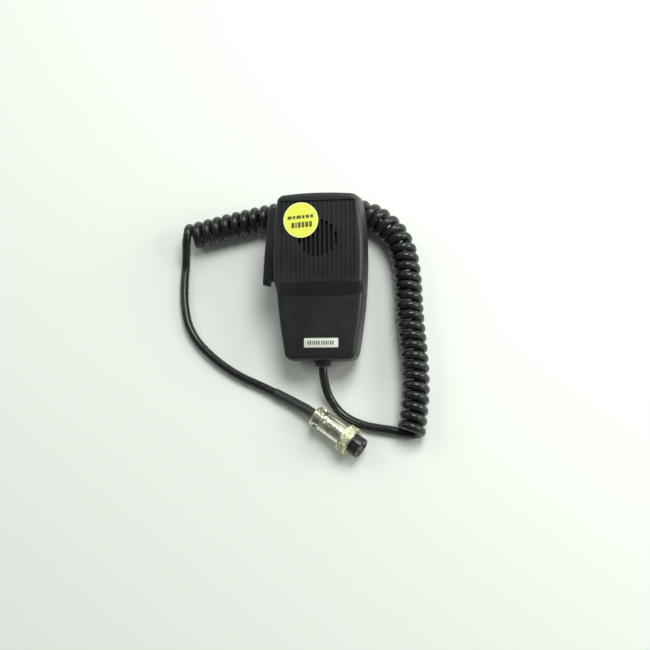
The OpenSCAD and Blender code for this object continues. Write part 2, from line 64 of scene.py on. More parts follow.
# The plug's own frame: its axis runs along +Z from the cord end to the nose, +Y is up
NOSE_MOUNT_S = 34.0                         # the nose mount's place along that axis, in mm
plug_axis = Vector(mount("plug_nose")["axis"]).normalized()
plug_side = plug_axis.cross(UP).normalized()
plug_up = plug_side.cross(plug_axis)
plug_at = Vector(mount("plug_nose")["pos_m"]) - plug_axis * NOSE_MOUNT_S * MM
plug_turn = Matrix((-plug_side, plug_up, plug_axis)).transposed().to_4x4()
PLUG = Matrix.Translation(plug_at) @ plug_turn @ Matrix.Scale(MM, 4)


# ==== Camera, floor and light ====
CAM_AZIMUTH = math.radians(36.6)
CAM_ELEVATION = math.radians(73.5)
CAM_DISTANCE = 0.69
CAM_TARGET = Vector((0.0023, -0.0254, 0))
CAM_UP = Vector((-0.028, 1, 0))
CAM_LENS = 59.0


def add_camera():
    back = Vector((
        math.sin(CAM_AZIMUTH) * math.cos(CAM_ELEVATION),
        -math.cos(CAM_AZIMUTH) * math.cos(CAM_ELEVATION),
        math.sin(CAM_ELEVATION),
    ))
    right = CAM_UP.cross(back).normalized()
    up = back.cross(right)
    cam = bpy.data.objects.new("camera", bpy.data.cameras.new("camera"))
    bpy.context.collection.objects.link(cam)
    turn = Matrix((right, up, back)).transposed().to_4x4()
    cam.matrix_world = Matrix.Translation(CAM_TARGET + back * CAM_DISTANCE) @ turn
    cam.data.lens = CAM_LENS
    cam.data.clip_end = 10
    bpy.context.scene.camera = cam


def add_area_light(name, at, size, power, colour):
    """A disc light that faces the origin."""
    light = bpy.data.lights.new(name, "AREA")
    light.shape = "DISK"
    light.size = size
    light.energy = power
    light.color = colour
    lamp = bpy.data.objects.new(name, light)
    bpy.context.collection.objects.link(lamp)
    lamp.location = at
    lamp.rotation_euler = Vector(at).to_track_quat("Z", "Y").to_euler()


def add_floor():
    half = 3.0
    corners = [(-half, -half, 0), (half, -half, 0), (half, half, 0), (-half, half, 0)]
    mesh = bpy.data.meshes.new("floor")
    mesh.from_pydata(corners, [], [(0, 1, 2, 3)])
    floor = bpy.data.objects.new("floor", mesh)
    bpy.context.collection.objects.link(floor)
    mat = bpy.data.materials.new("floor")
    mat.use_nodes = True
    shader = mat.node_tree.nodes["Principled BSDF"]
    shader.inputs["Base Color"].default_value = (0.86, 0.89, 0.86, 1)
    shader.inputs["Roughness"].default_value = 0.6
    mesh.materials.append(mat)


def fill_ramp(band, stops):
    """Gives a ramp four (position, level) stops of a faintly green grey."""
    band.elements.new(0.3)
    band.elements.new(0.6)
    for stop, (at, level) in zip(band.elements, stops):
        stop.position = at
        stop.color = (0.965 * level, level, 0.95 * level, 1)


def add_world():
    """A room with pale walls and a darker ceiling, near side and left, so that flat faces stay dark."""
    world = bpy.data.worlds.new("world")
    bpy.context.scene.world = world
    world.use_nodes = True
    tree = world.node_tree
    direction = tree.nodes.new("ShaderNodeTexCoord")
    split = tree.nodes.new("ShaderNodeSeparateXYZ")
    tree.links.new(direction.outputs["Generated"], split.inputs[0])
    height = tree.nodes.new("ShaderNodeValToRGB")
    tree.links.new(split.outputs["Z"], height.inputs["Fac"])
    fill_ramp(height.color_ramp, ((0.0, 0.85), (0.35, 0.62), (0.7, 0.26), (1.0, 0.12)))
    # 0 at the near left, 1 at the far right
    lean = tree.nodes.new("ShaderNodeVectorMath")
    lean.operation = "DOT_PRODUCT"
    lean.inputs[1].default_value = (0.35, 0.35, 0)
    tree.links.new(direction.outputs["Generated"], lean.inputs[0])
    shift = tree.nodes.new("ShaderNodeMath")
    shift.inputs[1].default_value = 0.5
    tree.links.new(lean.outputs["Value"], shift.inputs[0])
    side = tree.nodes.new("ShaderNodeValToRGB")
    tree.links.new(shift.outputs[0], side.inputs["Fac"])
    fill_ramp(side.color_ramp, ((0.0, 0.25), (0.35, 0.45), (0.6, 1.0), (1.0, 1.5)))
    both = tree.nodes.new("ShaderNodeVectorMath")
    both.operation = "MULTIPLY"
    tree.links.new(height.outputs["Color"], both.inputs[0])
    tree.links.new(side.outputs["Color"], both.inputs[1])
    tree.links.new(both.outputs["Vector"], tree.nodes["Background"].inputs["Color"])


bpy.context.scene.view_settings.view_transform = "Standard"
add_camera()
add_floor()
add_world()
add_area_light("overhead", (0.4, 0.6, 1.12), 0.7, 13.0, (0.97, 1.0, 0.955))
add_area_light("window", (1.1, 0.1, 0.55), 0.6, 6.5, (1.0, 0.995, 0.95))
add_area_light("fill", (-0.85, 0.5, 0.85), 0.8, 3.0, (0.95, 1.0, 0.95))


# ==== Materials ====
class Nodes:
    """Short calls for building one material's node tree."""

    def __init__(self, name):
        self.mat = bpy.data.materials.new(name)
        self.mat.use_nodes = True
        self.tree = self.mat.node_tree
        self.shader = self.tree.nodes["Principled BSDF"]
        self.place = self.tree.nodes.new("ShaderNodeTexCoord").outputs["Object"]

    def new(self, kind, **values):
        node = self.tree.nodes.new(kind)
        for key, value in values.items():
            setattr(node, key, value)
        return node

    def link(self, source, target):
        self.tree.links.new(source, target)

    def noise(self, scale, detail, rough=0.55, stretch=None):
        """Noise in object space, its scale per metre, optionally stretched along the axes."""
        node = self.new("ShaderNodeTexNoise")
        node.inputs["Scale"].default_value = scale
        node.inputs["Detail"].default_value = detail
        node.inputs["Roughness"].default_value = rough
        place = self.place
        if stretch:
            mapping = self.new("ShaderNodeMapping")
            mapping.inputs["Scale"].default_value = stretch
            self.link(place, mapping.inputs["Vector"])
            place = mapping.outputs["Vector"]
        self.link(place, node.inputs["Vector"])
        return node.outputs["Fac"]

    def ramp(self, source, stops):
        """Maps a value through [(position, value or colour), ...]."""
        node = self.new("ShaderNodeValToRGB")
        band = node.color_ramp
        for i, (at, value) in enumerate(stops):
            stop = band.elements[i] if i < 2 else band.elements.new(at)
            stop.position = at
            stop.color = value if isinstance(value, tuple) else (value, value, value, 1)
        self.link(source, node.inputs["Fac"])
        return node.outputs["Color"]

    def math(self, kind, a, b):
        node = self.new("ShaderNodeMath", operation=kind)
        for socket, value in zip(node.inputs, (a, b)):
            if isinstance(value, (int, float)):
                socket.default_value = value
            else:
                self.link(value, socket)
        return node.outputs["Value"]

    def mix(self, factor, a, b):
        node = self.new("ShaderNodeMix", data_type="RGBA")
        for socket, value in ((node.inputs[0], factor), (node.inputs[6], a), (node.inputs[7], b)):
            if isinstance(value, (int, float, tuple)):
                socket.default_value = value
            else:
                self.link(value, socket)
        return node.outputs[2]

    def edges(self, low, high):
        """1 on worn convex edges, 0 elsewhere."""
        point = self.new("ShaderNodeNewGeometry").outputs["Pointiness"]
        return self.ramp(point, [(low, 0.0), (high, 1.0)])

    def bump(self, height, strength, distance):
        node = self.new("ShaderNodeBump")
        node.inputs["Strength"].default_value = strength
        node.inputs["Distance"].default_value = distance
        self.link(height, node.inputs["Height"])
        self.link(node.outputs["Normal"], self.shader.inputs["Normal"])

    def set(self, name, value):
        if isinstance(value, (int, float, tuple)):
            self.shader.inputs[name].default_value = value
        else:
            self.link(value, self.shader.inputs[name])


def scaled(colour, times):
    """A colour made brighter or darker, opaque."""
    return tuple(min(1, times * c) for c in colour[:3]) + (1,)


def moulded_plastic(name, colour, light, rough):
    """Satin moulded plastic: fine spark-eroded grain, rubbed patches and pale worn edges."""
    n = Nodes(name)
    patches = n.noise(38, 4)
    tint = n.mix(n.ramp(patches, [(0.35, 0.0), (0.7, 1.0)]), colour, light)
    worn = n.edges(0.52, 0.6)
    scuffed = n.math("MULTIPLY", worn, n.ramp(n.noise(420, 3), [(0.42, 0.0), (0.62, 0.55)]))
    n.set("Base Color", n.mix(scuffed, tint, scaled(light, 2.6)))
    n.set("Roughness", n.ramp(n.noise(90, 5, 0.6), [(0.3, rough - 0.07), (0.72, rough + 0.1)]))
    n.bump(n.noise(2600, 2, 0.5), 0.35, 0.00006)
    n.set("Specular IOR Level", 0.5)
    return n.mat


def glossy_vinyl(name, colour, rough):
    """Soft glossy cable jacket with a faint handling haze and a slightly uneven surface."""
    n = Nodes(name)
    haze = n.noise(60, 4)
    n.set("Base Color", n.mix(haze, colour, scaled(colour, 1.9)))
    n.set("Roughness", n.ramp(n.noise(150, 4), [(0.3, rough - 0.06), (0.75, rough + 0.12)]))
    n.bump(n.noise(900, 3), 0.18, 0.00008)
    n.set("Specular Tint", (0.55, 0.58, 0.56, 1))
    n.set("Coat Weight", 0.25)
    n.set("Coat Roughness", 0.12)
    return n.mat


def plated(name, colour, tarnish, rough):
    """Bright plate with tarnish in patches and in its hollows, and a fine grain."""
    n = Nodes(name)
    clouds = n.ramp(n.noise(210, 5, 0.6), [(0.38, 0.0), (0.68, 1.0)])
    hollows = n.ramp(n.new("ShaderNodeNewGeometry").outputs["Pointiness"], [(0.42, 1.0), (0.5, 0.0)])
    dull = n.math("MAXIMUM", n.math("MULTIPLY", clouds, 0.55), hollows)
    n.set("Base Color", n.mix(dull, colour, tarnish))
    n.set("Metallic", 1.0)
    n.set("Roughness", n.ramp(n.noise(500, 4), [(0.25, rough), (0.75, rough + 0.14)]))
    n.bump(n.noise(1800, 3), 0.12, 0.00004)
    return n.mat


def steel(name, colour, rough):
    """Plated steel with level brushed streaks."""
    n = Nodes(name)
    streaks = n.noise(900, 4, 0.6, (1, 1, 9))
    n.set("Base Color", n.mix(streaks, colour, scaled(colour, 0.62)))
    n.set("Metallic", 1.0)
    n.set("Roughness", n.ramp(streaks, [(0.3, rough), (0.8, rough + 0.2)]))
    n.bump(streaks, 0.15, 0.00003)
    return n.mat


def rubber(name, colour):
    """Matt rubber with paler patches and a fine grain."""
    n = Nodes(name)
    n.set("Base Color", n.mix(n.noise(120, 4), colour, scaled(colour, 2.2)))
    n.set("Roughness", n.ramp(n.noise(240, 4), [(0.3, 0.55), (0.8, 0.8)]))
    n.bump(n.noise(2200, 3), 0.4, 0.00006)
    return n.mat


def printed(name, colour, edge, rough):
    """Printed paper or vinyl: mottled ink, slight waviness and small specks."""
    n = Nodes(name)
    mottled = n.mix(n.ramp(n.noise(320, 5), [(0.35, 0.0), (0.7, 1.0)]), colour, edge)
    specks = n.ramp(n.noise(2400, 2), [(0.66, 0.0), (0.72, 0.35)])
    n.set("Base Color", n.mix(specks, mottled, scaled(colour, 0.6)))
    n.set("Roughness", n.ramp(n.noise(400, 3), [(0.3, rough), (0.7, rough + 0.15)]))
    n.bump(n.noise(260, 3), 0.2, 0.0001)
    return n.mat


def woven(name, colour):
    """Fine woven screen cloth."""
    n = Nodes(name)
    waves = []
    for direction in ("X", "Y"):
        wave = n.new("ShaderNodeTexWave", bands_direction=direction)
        wave.inputs["Scale"].default_value = 620
        n.link(n.place, wave.inputs["Vector"])
        waves.append(wave.outputs["Fac"])
    weave = n.math("MULTIPLY", waves[0], waves[1])
    n.set("Base Color", n.mix(weave, colour, scaled(colour, 3)))
    n.set("Roughness", 0.9)
    n.bump(weave, 0.6, 0.0002)
    return n.mat


BLACK = (0.0095, 0.0118, 0.0112, 1)
BLACK_LIGHT = (0.0145, 0.0175, 0.0165, 1)
case_mat = moulded_plastic("case_plastic", BLACK, BLACK_LIGHT, 0.42)
lever_mat = moulded_plastic("lever_plastic", (0.010, 0.0115, 0.012, 1), (0.016, 0.0175, 0.018, 1), 0.4)
button_mat = moulded_plastic("button_plastic", (0.025, 0.026, 0.026, 1), (0.04, 0.041, 0.041, 1), 0.38)
switch_mat = moulded_plastic("switch_plastic", (0.02, 0.02, 0.022, 1), (0.03, 0.03, 0.032, 1), 0.5)
plunger_mat = moulded_plastic("plunger_plastic", (0.62, 0.61, 0.56, 1), (0.7, 0.69, 0.64, 1), 0.4)
insert_mat = moulded_plastic("insert_plastic", (0.011, 0.011, 0.012, 1), (0.02, 0.02, 0.021, 1), 0.33)
cord_mat = glossy_vinyl("cord_jacket", (0.010, 0.0115, 0.011, 1), 0.25)
sleeve_mat = glossy_vinyl("sleeve_vinyl", (0.022, 0.026, 0.025, 1), 0.42)
core_mat = glossy_vinyl("core_insulation", (0.42, 0.09, 0.07, 1), 0.35)
gland_mat = rubber("gland_rubber", (0.012, 0.013, 0.016, 1))
foam_mat = rubber("foam", (0.03, 0.03, 0.03, 1))
nickel_mat = plated("plug_nickel", (0.96, 0.94, 0.82, 1), (0.70, 0.67, 0.48, 1), 0.17)
ring_mat = plated("ring_nickel", (0.86, 0.84, 0.64, 1), (0.52, 0.50, 0.30, 1), 0.24)
capsule_mat = steel("capsule_metal", (0.74, 0.74, 0.73, 1), 0.3)
screw_mat = steel("screw_steel", (0.58, 0.57, 0.55, 1), 0.28)
plug_screw_mat = steel("plug_screw_steel", (0.68, 0.66, 0.58, 1), 0.25)
strap_mat = steel("strap_steel", (0.55, 0.55, 0.56, 1), 0.35)
brass_mat = plated("contact_brass", (0.75, 0.56, 0.24, 1), (0.42, 0.28, 0.10, 1), 0.25)
sticker_mat = printed("sticker_vinyl", (0.90, 0.92, 0.10, 1), (0.88, 0.92, 0.13, 1), 0.4)
sticker_rim_mat = printed("sticker_rim", (0.92, 0.95, 0.34, 1), (0.90, 0.94, 0.30, 1), 0.4)
ink_mat = printed("printed_ink", (0.10, 0.11, 0.02, 1), (0.14, 0.14, 0.03, 1), 0.45)
label_mat = printed("label_paper", (0.78, 0.80, 0.70, 1), (0.72, 0.75, 0.64, 1), 0.45)
label_ink_mat = printed("label_ink", (0.11, 0.12, 0.10, 1), (0.2, 0.21, 0.18, 1), 0.5)
screen_mat = woven("screen_cloth", (0.004, 0.004, 0.004, 1))


# ==== Mesh helpers (lengths in mm, in a piece's own frame) ====
def raw(name, verts, faces):
    """A plain mesh object in mm, still to be cut, joined or settled."""
    mesh = bpy.data.meshes.new(name)
    mesh.from_pydata([Vector(v) for v in verts], [], faces)
    mesh.update()
    bm = bmesh.new()
    bm.from_mesh(mesh)
    bmesh.ops.recalc_face_normals(bm, faces=bm.faces)
    bm.to_mesh(mesh)
    bm.free()
    obj = bpy.data.objects.new(name, mesh)
    bpy.context.collection.objects.link(obj)
    return obj


def joined(name, objs):
    """One object holding the faces of several, which are removed."""
    bm = bmesh.new()
    for o in objs:
        bm.from_mesh(o.data)
        bpy.data.objects.remove(o)
    mesh = bpy.data.meshes.new(name)
    bm.to_mesh(mesh)
    bm.free()
    obj = bpy.data.objects.new(name, mesh)
    bpy.context.collection.objects.link(obj)
    return obj


def apply_modifiers(obj):
    graph = bpy.context.evaluated_depsgraph_get()
    mesh = bpy.data.meshes.new_from_object(obj.evaluated_get(graph))
    obj.modifiers.clear()
    obj.data = mesh


def combine(base, tool, operation):
    """Joins the tool to the base, or cuts the base by it, and removes the tool."""
    mod = base.modifiers.new("cut", "BOOLEAN")
    mod.operation = operation
    mod.object = tool
    mod.solver = "EXACT"
    mod.use_self = operation == "DIFFERENCE"
    apply_modifiers(base)
    bpy.data.objects.remove(tool)


def bevel(obj, width, segments, angle=35):
    """Rounds the edges where the faces turn by more than an angle."""
    mod = obj.modifiers.new("bevel", "BEVEL")
    mod.width = width
    mod.segments = segments
    mod.limit_method = "ANGLE"
    mod.angle_limit = math.radians(angle)
    apply_modifiers(obj)


def settle(obj, place, mat, body="case", sharp=38):
    """Puts a raw mesh in its place as a finished piece, sharp where its faces turn by more than an angle."""
    mesh = obj.data
    name = obj.name
    mesh.transform(place)
    bpy.data.objects.remove(obj)
    bm = bmesh.new()
    bm.from_mesh(mesh)
    bmesh.ops.remove_doubles(bm, verts=bm.verts, dist=1e-7)
    bmesh.ops.dissolve_degenerate(bm, edges=bm.edges, dist=1e-7)
    bm.to_mesh(mesh)
    bm.free()
    mesh.validate()
    mesh.materials.clear()
    mesh.materials.append(mat)
    mesh.shade_smooth()
    mesh.set_sharp_from_angle(angle=math.radians(sharp))
    done = bpy.data.objects.new(name, mesh)
    bpy.context.collection.objects.link(done)
    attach(done, body)
    return done


def prism(outline, z0, z1, chamfer=0.0):
    """(points, faces) of an outline of (x, y) pairs drawn from z0 to z1, wider at z1 by a chamfer."""
    n = len(outline)
    levels = [(z0, 0.0), (z1, 0.0)]
    if chamfer:
        levels = [(z0, 0.0), (z1 - chamfer, 0.0), (z1, chamfer)]
    cx = sum(p[0] for p in outline) / n
    cy = sum(p[1] for p in outline) / n
    verts = []
    for z, grow in levels:
        for x, y in outline:
            verts.append((x + math.copysign(grow, x - cx), y + math.copysign(grow, y - cy), z))
    faces = [tuple(range(n - 1, -1, -1)), tuple(range((len(levels) - 1) * n, len(levels) * n))]
    for k in range(len(levels) - 1):
        for i in range(n):
            j = (i + 1) % n
            faces.append((k * n + i, k * n + j, (k + 1) * n + j, (k + 1) * n + i))
    return verts, faces


def box(x0, x1, y0, y1, z0, z1):
    return prism([(x0, y0), (x1, y0), (x1, y1), (x0, y1)], z0, z1)


def rounded_box_outline(x0, x1, y0, y1, r, steps=5):
    corners = [(x1 - r, y0 + r, -90), (x1 - r, y1 - r, 0), (x0 + r, y1 - r, 90), (x0 + r, y0 + r, 180)]
    points = []
    for cx, cy, start in corners:
        for i in range(steps + 1):
            a = math.radians(start + 90 * i / steps)
            points.append((cx + r * math.cos(a), cy + r * math.sin(a)))
    return points


def disc_outline(cx, cy, r, steps):
    angles = [2 * math.pi * i / steps for i in range(steps)]
    return [(cx + r * math.cos(a), cy + r * math.sin(a)) for a in angles]


def cylinder(x, y, z0, z1, r, steps=40):
    return raw("cylinder", *prism(disc_outline(x, y, r, steps), z0, z1))


def lathe(profile, steps, closed=False):
    """(points, faces) of (radius, height) pairs turned about Z; a closed profile makes a ring."""
    verts = []
    for k in range(steps):
        a = 2 * math.pi * k / steps
        verts += [(r * math.cos(a), r * math.sin(a), h) for r, h in profile]
    n = len(profile)
    faces = []
    for k in range(steps):
        a, b = k * n, (k + 1) % steps * n
        for i in range(n if closed else n - 1):
            j = (i + 1) % n
            faces.append((a + i, b + i, b + j, a + j))
    if not closed:
        faces.append(tuple(k * n for k in range(steps - 1, -1, -1)))
        faces.append(tuple(k * n + n - 1 for k in range(steps)))
    return verts, faces


# ==== The cord: one length from the gland, through the curly stretch, to the plug ====
CORD_D = 5.6
COIL_D = 17.8
TURNS = 42.5
SLEEVE_D = 6.4
LEAD_ROUTE = [
    (4, -55.55, 13), (4.2, -59.5, 12.1), (4.7, -63.85, 10.2), (5.7, -68.7, 7.8),
    (7.48, -73.62, 5.4), (10.22, -78.13, 3.6), (14.3, -83, 2.8), (19.6, -86.9, 2.8),
    (26.1, -89.9, 2.8), (33.14, -91.96, 2.8), (40.36, -93.14, 2.8), (47.52, -94.18, 2.8),
    (54.2, -95.7, 2.8),
]
COIL_ROUTE = [
    (59.7, -96.6), (61, -85.4), (62, -73.4), (62, -61.4), (61.2, -49.4), (59.9, -37.4),
    (58.6, -25.4), (57.6, -13.4), (56.9, -1.4), (55.8, 8.6), (53.9, 18.5), (50.2, 27.8), (44.8, 35.3),
    (37.9, 41.2), (29.8, 45.6), (20.8, 47.8), (9.8, 48.7), (-1.2, 48.8), (-12.2, 48.5),
    (-24.2, 47.3), (-36.2, 45.6), (-47.2, 43.4), (-59.2, 40.8), (-71, 38), (-81, 35.6), (-89, 33.6),
]
TAIL_ROUTE = [
    (-89, 33.6, 15), (-89.9, 29, 13.6), (-90.8, 24.4, 10), (-91.9, 19.5, 5.8), (-92.6, 14.5, 3.2),
    (-92.9, 6.4, 2.8), (-92.6, -4.6, 2.8), (-91.2, -14.8, 2.8), (-88.1, -25.8, 2.8),
    (-81.7, -36.2, 2.8), (-72.6, -45.4, 2.8), (-62.2, -53.4, 2.8), (-50.4, -60.3, 2.8),
    (-39.2, -65.3, 2.8), (-28.1, -70.5, 3),
]
SLEEVE_ROUTE = [
    (-28.1, -70.5, 3.5), (-22.4, -73.4, 3.5), (-16.7, -76.2, 3.8), (-11.2, -79.1, 4.9),
    (-6.8, -81.4, 5.9), (-3.8, -83.5, 6.25), (-1.3, -85.2, 6.55), (5.5, -90.05, 7.45),
]


def smooth_route(points, step):
    """A smooth line through the points, with a point about every step."""
    points = [Vector(p) for p in points]
    ends = [points[0] * 2 - points[1]] + points + [points[-1] * 2 - points[-2]]
    line = []
    for i in range(1, len(ends) - 2):
        p0, p1, p2, p3 = ends[i - 1:i + 3]
        count = max(2, round((p2 - p1).length / step))
        for k in range(count):
            t = k / count
            line.append(0.5 * (2 * p1 + (p2 - p0) * t + (2 * p0 - 5 * p1 + 4 * p2 - p3) * t * t
                               + (3 * p1 - p0 - 3 * p2 + p3) * t ** 3))
    line.append(points[-1])
    return line


def at_fraction(line, lengths, f):
    """(point, direction) at a fraction of the line's length."""
    want = f * lengths[-1]
    i = next((k for k in range(1, len(lengths)) if lengths[k] >= want), len(lengths) - 1)
    span = lengths[i] - lengths[i - 1]
    t = (want - lengths[i - 1]) / span
    way = line[min(i + 1, len(line) - 1)] - line[max(i - 2, 0)]
    return line[i - 1].lerp(line[i], t), way.normalized()


def helix(route, turns):
    """A left-handed coil wound along the route, from its lowest point to its highest."""
    steps = 26
    line = smooth_route([(x, y, COIL_D / 2) for x, y in route], 1.0)
    lengths = [0.0]
    for a, b in zip(line, line[1:]):
        lengths.append(lengths[-1] + (b - a).length)
    radius = (COIL_D - CORD_D) / 2
    points = []
    count = round(turns * steps)
    for i in range(count + 1):
        turn = 2 * math.pi * i / steps
        centre, way = at_fraction(line, lengths, i / count)
        side = way.cross(UP).normalized()
        outward = math.sin(turn) * side - math.cos(turn) * UP
        # the turns lie a little unevenly, as a used cord's do
        uneven = 0.35 * math.sin(0.37 * turn) * math.sin(math.pi * i / count)
        points.append(centre + way * uneven + radius * outward)
    return points


def tube(name, line, d, mat):
    """A round cord along a line in mm, as a curve of one open spline in metres."""
    curve = bpy.data.curves.new(name, "CURVE")
    curve.dimensions = "3D"
    curve.bevel_depth = d / 2 * MM
    curve.bevel_resolution = 5
    curve.use_fill_caps = True
    spline = curve.splines.new("POLY")
    spline.points.add(len(line) - 1)
    for point, p in zip(spline.points, line):
        point.co = (*(p * MM), 1)
    spline.use_smooth = True
    curve.materials.append(mat)
    obj = bpy.data.objects.new(name, curve)
    bpy.context.collection.objects.link(obj)
    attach(obj, "case")
    return obj


coil_line = helix(COIL_ROUTE, TURNS)
lead_line = smooth_route(LEAD_ROUTE + [tuple(coil_line[1])], 1.6)
tail_line = smooth_route([tuple(coil_line[-2])] + TAIL_ROUTE[1:] + SLEEVE_ROUTE[2:], 1.6)
cord_line = lead_line[:-1] + coil_line[1:-2] + tail_line
for point in cord_line:
    point.z = max(point.z, CORD_D / 2)
cord = tube("cord", cord_line, CORD_D, cord_mat)
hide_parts("cord_lead", "curly_cord", "cord_tail")
sleeve = tube("cord_sleeve_tube", smooth_route(SLEEVE_ROUTE, 1.5), SLEEVE_D, sleeve_mat)
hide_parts("cord_sleeve")


# ==== Case outline (mm, in the case's own frame) ====
CASE_HALF_L = 52.0
BELT_HALF_W = 29.0
BELT_Y = 13.0
TOP_TAPER = 0.00216         # the sides draw in this fast above the belt, per mm squared
END_TAPER = 0.00154         # and this fast below it
CORNER_R = 5.5
GRILLE_H = 18.0
PANEL_H = 12.0
REAR_H = 15.0
SLOPE_TOP = -4.2
SLOPE_FOOT = -11.2
SLOPE_HALF_W = 26.0
SLOPE_BOW = 1.7             # the slope's foot lies this much lower in the middle
PANEL_CROWN = 0.35          # the lower panel is this much higher in the middle
FACE_SINK = 0.15            # the whole front face lies this much under its nominal height
CROWN = 1.2                 # how far the top end bows out in the middle
CROWN_FROM = 30.0
CROWN_HALF_W = 22.0
FOOT = 1.2                  # how far the bottom end reaches past the gland's seat
FOOT_FROM = -40.0
SEAM = 0.3                  # chamfer beside the parting line
EDGE_STEPS = 9              # rows of points over a rounded edge


def half_w(y):
    taper = TOP_TAPER if y > BELT_Y else END_TAPER
    return BELT_HALF_W - taper * (y - BELT_Y) ** 2


def outline_half_w(y, inset):
    """Half width of the outline drawn in by inset, its corners rounded."""
    r = max(CORNER_R - inset, 0.6)
    top = CASE_HALF_L - inset
    over = abs(y) - (top - r)
    w = half_w(max(-top + r, min(top - r, y))) - inset
    if over > 0:
        w -= r - math.sqrt(max(0.0, r * r - over * over))
    return w


def crowned(x, y):
    """The top end bows out: a point moves down the further it lies to the side."""
    reach = CASE_HALF_L - CROWN_FROM
    return y - CROWN * (x / CROWN_HALF_W) ** 2 * max(0.0, (y - CROWN_FROM) / reach) ** 2


def footed(y):
    """The bottom end reaches a little further, up to the gland's neck."""
    return y - FOOT * max(0.0, (FOOT_FROM - y) / (CASE_HALF_L + FOOT_FROM))


def front_height(x, y):
    """Height of the front face: the grille block, a slope with a bowed foot and the lower panel."""
    foot = SLOPE_FOOT - SLOPE_BOW * (1 - (x / SLOPE_HALF_W) ** 2)
    t = max(0.0, min(1.0, (y - foot) / (SLOPE_TOP - foot)))
    crown = PANEL_CROWN * (1 - (x / SLOPE_HALF_W) ** 2)
    return PANEL_H + (GRILLE_H - PANEL_H) * t ** 1.12 + crown * (1 - t) - FACE_SINK


def edge_drop(x, y, inset, r):
    """How far a face falls away towards the outline, as a quarter round of radius r."""
    corner = max(CORNER_R - inset, 0.6)
    top = CASE_HALF_L - inset
    dy = top - abs(y)
    base = half_w(max(-top + corner, min(top - corner, y))) - inset
    dx = base - abs(x)
    if dx < corner and dy < corner:
        d = corner - math.hypot(corner - dx, corner - dy)
    else:
        d = min(dx, dy)
    d = max(0.0, min(r, d))
    return r - math.sqrt(max(0.0, r * r - (r - d) ** 2))


def near_rows(r):
    """Distances from an edge, close together where it rounds over."""
    return [r * (1 - math.cos(math.pi / 2 * k / EDGE_STEPS)) for k in range(EDGE_STEPS + 1)]


def case_rows(draft, r, extra_rows):
    """Places along the case, from its top end to its bottom end, where a face has a row of points."""
    end = CASE_HALF_L - draft
    reach = near_rows(r) + [r + 1.2, CORNER_R]
    straight = end - reach[-1]
    count = 36
    rows = [end - d for d in reach] + [d - end for d in reach]
    rows += [straight * (1 - 2 * k / count) for k in range(1, count)]
    return sorted(set(round(y, 4) for y in rows + extra_rows), reverse=True)


def case_half(name, height, draft, r, sign, extra_rows):
    """A closed half of the case: a rounded top over drafted walls down to the parting line."""
    middle = [-0.86, -0.7, -0.5, -0.3, -0.1, 0.1, 0.3, 0.5, 0.7, 0.86]
    verts, grid = [], []
    for y in case_rows(draft, r, extra_rows):
        w = outline_half_w(y, draft)
        side = [min(d, w) for d in near_rows(r)]
        inner = max(w - r, 0.0)
        xs = [-w + d for d in side] + [inner * f for f in middle] + [w - d for d in reversed(side)]
        line = []
        for x in xs:
            line.append(len(verts))
            verts.append((x, y, sign * (height(x, y) - edge_drop(x, y, draft, r))))
        grid.append(line)
    face_points = len(verts)
    faces = [(a[i], a[i + 1], b[i + 1], b[i]) for a, b in zip(grid, grid[1:]) for i in range(len(a) - 1)]
    rim = grid[0] + [line[-1] for line in grid[1:-1]] + grid[-1][::-1] + [line[0] for line in grid[-2:0:-1]]
    n = len(rim)
    last = rim
    for z, inset in ((SEAM * 3, 0.0), (SEAM, 0.0), (0.0, SEAM)):
        ring = []
        for k in rim:
            x, y = verts[k][:2]
            y2 = y * ((CASE_HALF_L - inset) / (CASE_HALF_L - draft))
            w = outline_half_w(y, draft)
            w2 = outline_half_w(y2, inset)
            ring.append(len(verts))
            verts.append((x * w2 / w if w > 0 else 0.0, footed(y2), sign * z))
        faces += [(last[i], last[(i + 1) % n], ring[(i + 1) % n], ring[i]) for i in range(n)]
        last = ring
    faces.append(tuple(last))
    # the back's face isn't drawn out, so that its resting edge stays in its place
    if sign > 0:
        verts[:face_points] = [(x, footed(y), z) for x, y, z in verts[:face_points]]
    return raw(name, [(x, crowned(x, y), z) for x, y, z in verts], faces)


def cavity(z0, z1, inset):
    """The space inside a shell, between two heights."""
    rows = [(inset - CASE_HALF_L) * math.cos(math.pi * k / 40) for k in range(41)]
    outline = [(outline_half_w(y, inset), y) for y in rows]
    outline += [(-x, y) for x, y in reversed(outline)]
    return raw("cavity", *prism([(x, crowned(x, y)) for x, y in outline], z0, z1))


GRILLE_MID_Y = 22.05
RECESS_L = 48.3
RECESS_W = 47.2
RECESS_FLOOR = GRILLE_H - 1.4
RIB_PITCH = 2.85
RIB_COUNT = 16
RIB_W = 1.25
RIB_TOP = GRILLE_H - 0.7
SOUND_Y = 23.2
SOUND_R = 11.5
SLOT_COUNT = 9
SLOT_W = 1.7
LEVER_W = 16.0
LEVER_TOP = 44.0
LEVER_END = -5.2
CASE_SCREWS = [(-16, 45.5), (16, 45.5), (-15, -40), (15, -40)]


def lever_window():
    """The opening in the left wall that the lever closes."""
    half = LEVER_W / 2 + 0.5
    return raw("window", *box(-40, -24.1, LEVER_END + 2.4, LEVER_TOP + 1, -half, half))


def gland_hole():
    obj = cylinder(0, 0, -6, 6, 4.2)
    obj.data.transform(Matrix.Translation((0, -CASE_HALF_L, 0)) @ Matrix.Rotation(math.radians(90), 4, "X"))
    return obj


